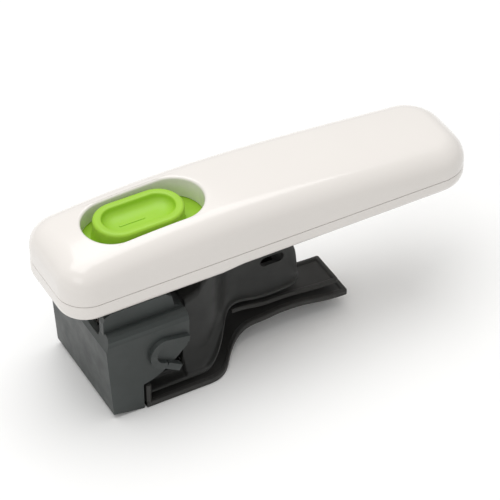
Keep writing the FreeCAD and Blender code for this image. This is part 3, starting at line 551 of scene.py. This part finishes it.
# Middle in X and Z, length, height, corner and, for the notch, reach to each side.
TIP_SLOT = (ARM_END - 14, ARM_TOP - 19.4, 11.5, 4.8, 2.3)
BOLT_NOTCH = (54.8, 51.5, 14.0, 36.0, 1.5, 4.4)
TRAY_END, TRAY_HALF = 135.0, 9.2
BASE_FRONT, BASE_END = 31.2, 138.0
BASE_ROOT_HALF, BASE_HALF = 28, 12.5


def tongue(x, wide, narrow):
    """Half the width of a strip: wide at the root, eased into a narrow tongue."""
    share = (x - NECK_START) / (NECK_END - NECK_START)
    return wide + (narrow - wide) * ease(share, 0.533)


def softened(values, width):
    """A line with its corners rounded by a moving average."""
    window = np.hanning(width + 2)[1:-1]
    padded = np.pad(values, width // 2, mode="edge")
    return np.convolve(padded, window / window.sum(), mode="valid")[:len(values)]


class HANDLE_OT_arm(bpy.types.Operator):
    """Hollow arm with a flared foot, from its root to its slotted tip"""
    bl_idname = "handle.arm"
    bl_label = "Arm"

    def execute(self, context):
        clip = context.scene.clip_settings
        top = ARM_TOP
        x = np.unique(np.concatenate([np.linspace(ARM_FRONT, ARM_END, 260),
                                      np.linspace(50, 58, 60), np.linspace(108, 118, 60)]))
        even = np.linspace(ARM_FRONT, ARM_END, 1200)
        foot = eased_line([(ARM_FRONT, 4.5), (NECK_START - 2, 4.5),
                           (NECK_END - 10, TRAY_LEVEL + 4.7), (NECK_END + 14, TRAY_LEVEL + 1.7),
                           (ARM_END, TRAY_LEVEL + 2.7)], x)
        outline = [(ARM_FRONT, 8.6), (52.6, 8.6), (53.4, top - 11), (60.5, top - 8),
                   (62.5, top - 4), (66, top - 1.3), (NECK_END + 12, top - 5),
                   (ARM_END - 8, top - 8), (ARM_END - 4, top - 13), (ARM_END - 1.2, top - 20),
                   (ARM_END, top - 28)]
        ridge = np.interp(x, even, softened(np.interp(even, *np.array(outline).T), 33))
        roof = [(ARM_FRONT, 4.6), (55.0, 4.6), (55.4, top - 14), (64, top - 8), (68, top - 4.2),
                (NECK_END + 12, top - 7.8), (ARM_END - 12.2, top - 12), (ARM_END - 11.8, 19.0),
                (ARM_END, 19.0)]
        inside = np.interp(x, *np.array(roof).T)
        wide = tongue(x, ARM_ROOT_HALF, ARM_HALF)
        narrow = tongue(x, SIDE_ROOT_HALF, SIDE_HALF)
        nose = np.sqrt(1 - np.clip((x - ARM_END + NOSE) / (NOSE + 0.6), 0, 1) ** 2)
        wide, narrow = wide * nose, narrow * nose
        surface = ring_surface(shifted(channel(x, wide, narrow, foot, ridge, inside, clip.flare)))
        arm = make_piece("arm_skin", [surface], "clip", FINISH["dark_plastic"],
                         ["arm"], sharp=50)
        pierce(arm, *TIP_SLOT)
        pierce(arm, *BOLT_NOTCH)
        return {"FINISHED"}


def channel(x, wide, narrow, foot, ridge, inside, flare):
    """Rings across the arm at every x: out along the foot, up its edge, in and up
    a hollow quarter ellipse to the upright side, over a rounded ridge, and back
    down the hollow inside."""
    edge = np.minimum(2.0, 0.4 * (ridge - foot))
    room = np.maximum(ridge - foot - edge, 0.2)
    rise = np.minimum(flare, 0.45 * room)
    round_top = np.minimum(2.6, 0.45 * room)
    hollow = np.maximum(narrow - 2.2, 0.5)
    roof = np.clip(inside, foot + 0.05, ridge - 1.6)
    sweep = np.radians(np.linspace(0, 90, 10))[None]
    def col(values):
        return np.asarray(values)[:, None]
    y = np.concatenate([
        col(wide - 0.5), col(wide), col(wide), col(wide - 0.5),
        col(wide) - 0.5 - col(wide - 0.5 - narrow) * np.sin(sweep[:, 1:]),
        col(narrow) - col(round_top) * (1 - np.cos(sweep))], axis=1)
    z = np.concatenate([
        col(foot), col(foot + 0.4), col(foot + edge - 0.4), col(foot + edge),
        col(foot + edge) + col(rise) * (1 - np.cos(sweep[:, 1:])),
        col(ridge - round_top) + col(round_top) * np.sin(sweep)], axis=1)
    inner_y = np.concatenate([col(-hollow), col(-hollow), col(hollow), col(hollow)], axis=1)
    inner_z = np.concatenate([col(foot), col(roof), col(roof), col(foot)], axis=1)
    y = np.concatenate([y, -y[:, ::-1], inner_y], axis=1)
    z = np.concatenate([z, z[:, ::-1], inner_z], axis=1)
    return np.stack([np.broadcast_to(x[:, None], y.shape), y, z], axis=-1)


def pierce(obj, x, z, long, high, corner, reach=30):
    """Cut a slot with rounded corners across the arm and leave plain mesh behind."""
    plan, _ = rounded_plan(x - long / 2, x + long / 2, high / 2, corner, corner, 48)
    rings = np.stack([np.column_stack([plan[:, 0], np.full(48, y), plan[:, 1] + z])
                      for y in (-reach, reach)])
    points, faces = ring_surface(shifted(rings))
    mesh = bpy.data.meshes.new("slot_cutter")
    mesh.from_pydata((points * MM).tolist(), [], faces)
    cutter = bpy.data.objects.new("slot_cutter", mesh)
    bpy.context.scene.collection.objects.link(cutter)
    step = obj.modifiers.new("slot", "BOOLEAN")
    step.object = cutter
    step.solver = "EXACT"
    graph = bpy.context.evaluated_depsgraph_get()
    result = bpy.data.meshes.new_from_object(obj.evaluated_get(graph))
    if len(result.polygons) < 100:
        raise RuntimeError("the slot's cut left no arm")
    obj.modifiers.clear()
    obj.data = result
    obj.data.set_sharp_from_angle(angle=math.radians(45))
    bpy.data.objects.remove(cutter)


def strip(x, half, bottom, thick, rim_high, rim_wide, end_rim):
    """Rings across a strip at every x: a flat bottom, a rounded rim along each
    side and a sunk floor that climbs to the rim's height at the far end."""
    rise = np.clip((x - (x[-1] - end_rim)) / 0.6, 0, 1)
    floor = bottom + thick + rim_high * rise
    crest = bottom + thick + rim_high
    ones = np.ones_like(x)
    soft = 0.35
    y = np.stack([half - soft, half, half, half - soft, half - rim_wide + soft,
                  half - rim_wide - 0.1, half - rim_wide - soft], axis=1)
    z = np.stack([bottom, bottom + soft, crest - soft, crest, crest,
                  np.maximum(crest - soft, floor), floor + 0 * ones], axis=1)
    y = np.concatenate([y, -y[:, ::-1]], axis=1)
    z = np.concatenate([z, z[:, ::-1]], axis=1)
    return np.stack([np.broadcast_to(x[:, None], y.shape), y, z], axis=-1)


class HANDLE_OT_strips(bpy.types.Operator):
    """The tray strip under the arm and the base strip below it"""
    bl_idname = "handle.strips"
    bl_label = "Pan strips"

    def execute(self, context):
        low = TRAY_LEVEL - 1.2 - 0.96
        x = np.concatenate([np.linspace(NECK_END - 6, TRAY_END - 2.4, 70),
                            np.linspace(TRAY_END - 2.3, TRAY_END, 12)])
        line = eased_line([(NECK_END - 6, low + 2.2), (NECK_END + 14, low - 0.1),
                           (TRAY_END, low - 2.3)], x)
        half = TRAY_HALF - np.maximum(x - TRAY_END + 0.6, 0)
        tray = ring_surface(shifted(strip(x, half, line, 1.2, 0.96, 1.8, 2.0)))
        make_piece("tray_strip_skin", [tray], "clip", FINISH["strip_plastic"],
                   ["tray_strip"], sharp=35)
        x = np.concatenate([np.linspace(BASE_FRONT, BASE_END - 2.8, 150),
                            np.linspace(BASE_END - 2.7, BASE_END, 14)])
        line = eased_line([(BASE_FRONT, 0), (NECK_START + 8, 0), (NECK_END + 5, 8.9),
                           (NECK_END + 18, 9.9), (BASE_END, 6.3)], x)
        half = tongue(x, BASE_ROOT_HALF, BASE_HALF) - np.maximum(x - BASE_END + 0.6, 0)
        base = ring_surface(shifted(strip(x, half, line, 2.0, 0.6, 2.4, 2.4)))
        parts = [base, soft_block(BASE_FRONT, BASE_FRONT + 2.4, BASE_ROOT_HALF, 0.05, 12, 0.8, 0.4)]
        parts += [post(33, side * 13, 7.5, -1.8, 4.0) for side in (-1, 1)]
        for px in (39.4, 55.0):
            parts += [soft_pad(px, side * 17, 1.5, 4.5, 4.0) for side in (-1, 1)]
        make_piece("base_strip_skin", parts, "clip", FINISH["strip_plastic"],
                   ["base_strip"], sharp=35)
        return {"FINISHED"}


def soft_pad(px, py, z0, z1, radius):
    """A round pad: circles of the radius, drawn in a little at both ends."""
    turn = np.linspace(0, 2 * math.pi, 40, endpoint=False)
    levels = np.array([(radius - 0.3, z0), (radius, z0 + 0.3), (radius, z1 - 0.3),
                       (radius - 0.3, z1)])
    rings = np.stack([px + levels[:, :1] * np.cos(turn), py + levels[:, :1] * np.sin(turn),
                      np.broadcast_to(levels[:, 1:], (4, 40))], axis=-1)
    return ring_surface(shifted(rings))


def post(px, py, pz, reach, radius):
    """A round post lying along X: circles of the radius about its axis."""
    turn = np.linspace(0, 2 * math.pi, 40, endpoint=False)
    levels = np.array([(radius, 0.0), (radius, 0.8 * reach), (radius - 0.3, reach)])
    rings = np.stack([np.broadcast_to(px + levels[:, 1:], (3, 40)),
                      py + levels[:, :1] * np.cos(turn), pz + levels[:, :1] * np.sin(turn)],
                     axis=-1)
    return ring_surface(shifted(rings))


# ----------------------------------------------------- nodes kept from the frame
def finish_node(node, material, width, segments=2, angle=32.0):
    """Give a frame node its finish and, where asked, eased edges."""
    obj = frame["nodes"][node]
    obj.data.materials.clear()
    obj.data.materials.append(material)
    if width:
        joined = obj.modifiers.new("weld", "WELD")
        joined.merge_threshold = 0.000005
        eased = obj.modifiers.new("edges", "BEVEL")
        eased.width = width * MM
        eased.segments = segments
        eased.limit_method = "ANGLE"
        eased.angle_limit = math.radians(angle)
        eased.use_clamp_overlap = True
        eased.harden_normals = True


class HANDLE_OT_bracket(bpy.types.Operator):
    """Bracket, with its rounded edges and hooks"""
    bl_idname = "handle.bracket"
    bl_label = "Bracket"

    def execute(self, context):
        rounding = context.scene.clip_settings.edge_round
        finish_node("pan_bracket", FINISH["bracket"], rounding, segments=3, angle=18)
        return {"FINISHED"}


class HANDLE_OT_small_parts(bpy.types.Operator):
    """Lower shell, lock, spring, pin, plates, screws and rivets"""
    bl_idname = "handle.small_parts"
    bl_label = "Lower shell and small parts"

    def execute(self, context):
        eased = {"lower_shell": 0.25, "lock_bolt": 0.3, "slide_guide": 0.3, "catch_plate": 0.25,
                 "stiffener": 0.25}
        kept = [item for item in frame["record"]["subparts"] if item["node"] not in
                ("upper_shell", "slider_button", "arm", "tray_strip", "base_strip", "pan_bracket")]
        for item in kept:
            finish_node(item["node"], FINISH[item["material_slot"]], eased.get(item["node"], 0))
        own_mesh(frame["nodes"]["slider_spring"])
        return {"FINISHED"}


# ------------------------------------------------------------------------ studio
class HANDLE_OT_stage(bpy.types.Operator):
    """White floor, soft lights and the camera"""
    bl_idname = "handle.stage"
    bl_label = "Stage"

    def execute(self, context):
        scene = context.scene
        scene.view_settings.view_transform = "Standard"
        world = bpy.data.worlds.new("white_room")
        scene.world = world
        world.use_nodes = True
        sky = world.node_tree.nodes["Background"]
        sky.inputs["Color"].default_value = (1, 0.995, 0.985, 1)
        sky.inputs["Strength"].default_value = 0.56
        mesh = bpy.data.meshes.new("floor")
        mesh.from_pydata([(-4, -4, 0), (4, -4, 0), (4, 4, 0), (-4, 4, 0)], [], [(0, 1, 2, 3)])
        floor = bpy.data.objects.new("floor", mesh)
        scene.collection.objects.link(floor)
        paper, shader = new_material("white_paper", (0.93, 0.93, 0.925), 0.75)
        tint(paper, shader, spread(paper, noise(paper, 3, 2), 0, 1), (0.925, 0.925, 0.92),
             (0.935, 0.935, 0.93))
        mesh.materials.append(paper)
        add_light("overhead_box", (-0.08, 0.16, 1.00), (1.3, 0.9), 8.2)
        add_light("left_box", (-0.70, -0.45, 0.55), (0.5, 0.3), 0.6)
        add_camera(scene)
        return {"FINISHED"}


def add_light(name, place, extent, power):
    """A soft rectangular light that faces the middle of the handle."""
    light = bpy.data.lights.new(name, "AREA")
    light.shape = "RECTANGLE"
    light.size, light.size_y = extent
    light.energy = power
    obj = bpy.data.objects.new(name, light)
    bpy.context.scene.collection.objects.link(obj)
    obj.location = place
    obj.rotation_mode = "QUATERNION"
    obj.rotation_quaternion = (Vector(place) - Vector((0, 0, 0.05))).to_track_quat("Z", "Y")


def add_camera(scene):
    """A long lens from the front left, looking down on the near side."""
    around, above = math.radians(-28.9), math.radians(40.6)
    back = Vector((math.sin(around) * math.cos(above), -math.cos(around) * math.cos(above),
                   math.sin(above)))
    lens = bpy.data.cameras.new("camera")
    lens.sensor_width = 36
    lens.lens = 184.0
    lens.clip_start, lens.clip_end = 0.05, 20
    camera = bpy.data.objects.new("camera", lens)
    scene.collection.objects.link(camera)
    camera.location = Vector((-14.8, -23.9, 63.5)) * MM + back * 1.060
    camera.rotation_mode = "QUATERNION"
    camera.rotation_quaternion = back.to_track_quat("Z", "Y")
    scene.camera = camera


# ------------------------------------------------------------------- registration
PIECES = (HANDLE_OT_upper_shell, HANDLE_OT_thumb_slider, HANDLE_OT_arm, HANDLE_OT_strips,
          HANDLE_OT_bracket, HANDLE_OT_small_parts, HANDLE_OT_stage)


class HANDLE_PT_panel(bpy.types.Panel):
    """The handle's pieces, in the order in which they are made"""
    bl_idname = "HANDLE_PT_panel"
    bl_label = "Pan handle"
    bl_space_type = "VIEW_3D"
    bl_region_type = "UI"
    bl_category = "Handle"

    def draw(self, context):
        for piece in PIECES:
            self.layout.operator(piece.bl_idname)


CLASSES = (GripSettings, SliderSettings, ClipSettings, HANDLE_PT_panel) + PIECES


def register():
    for item in CLASSES:
        bpy.utils.register_class(item)
    bpy.types.Scene.grip_settings = bpy.props.PointerProperty(type=GripSettings)
    bpy.types.Scene.slider_settings = bpy.props.PointerProperty(type=SliderSettings)
    bpy.types.Scene.clip_settings = bpy.props.PointerProperty(type=ClipSettings)


def unregister():
    del bpy.types.Scene.clip_settings
    del bpy.types.Scene.slider_settings
    del bpy.types.Scene.grip_settings
    for item in reversed(CLASSES):
        bpy.utils.unregister_class(item)


def main():
    register()
    make_finishes(bpy.context.scene)
    bpy.ops.handle.upper_shell()
    bpy.ops.handle.thumb_slider()
    bpy.ops.handle.arm()
    bpy.ops.handle.strips()
    bpy.ops.handle.bracket()
    bpy.ops.handle.small_parts()
    bpy.ops.handle.stage()


if __name__ == "__main__":
    main()
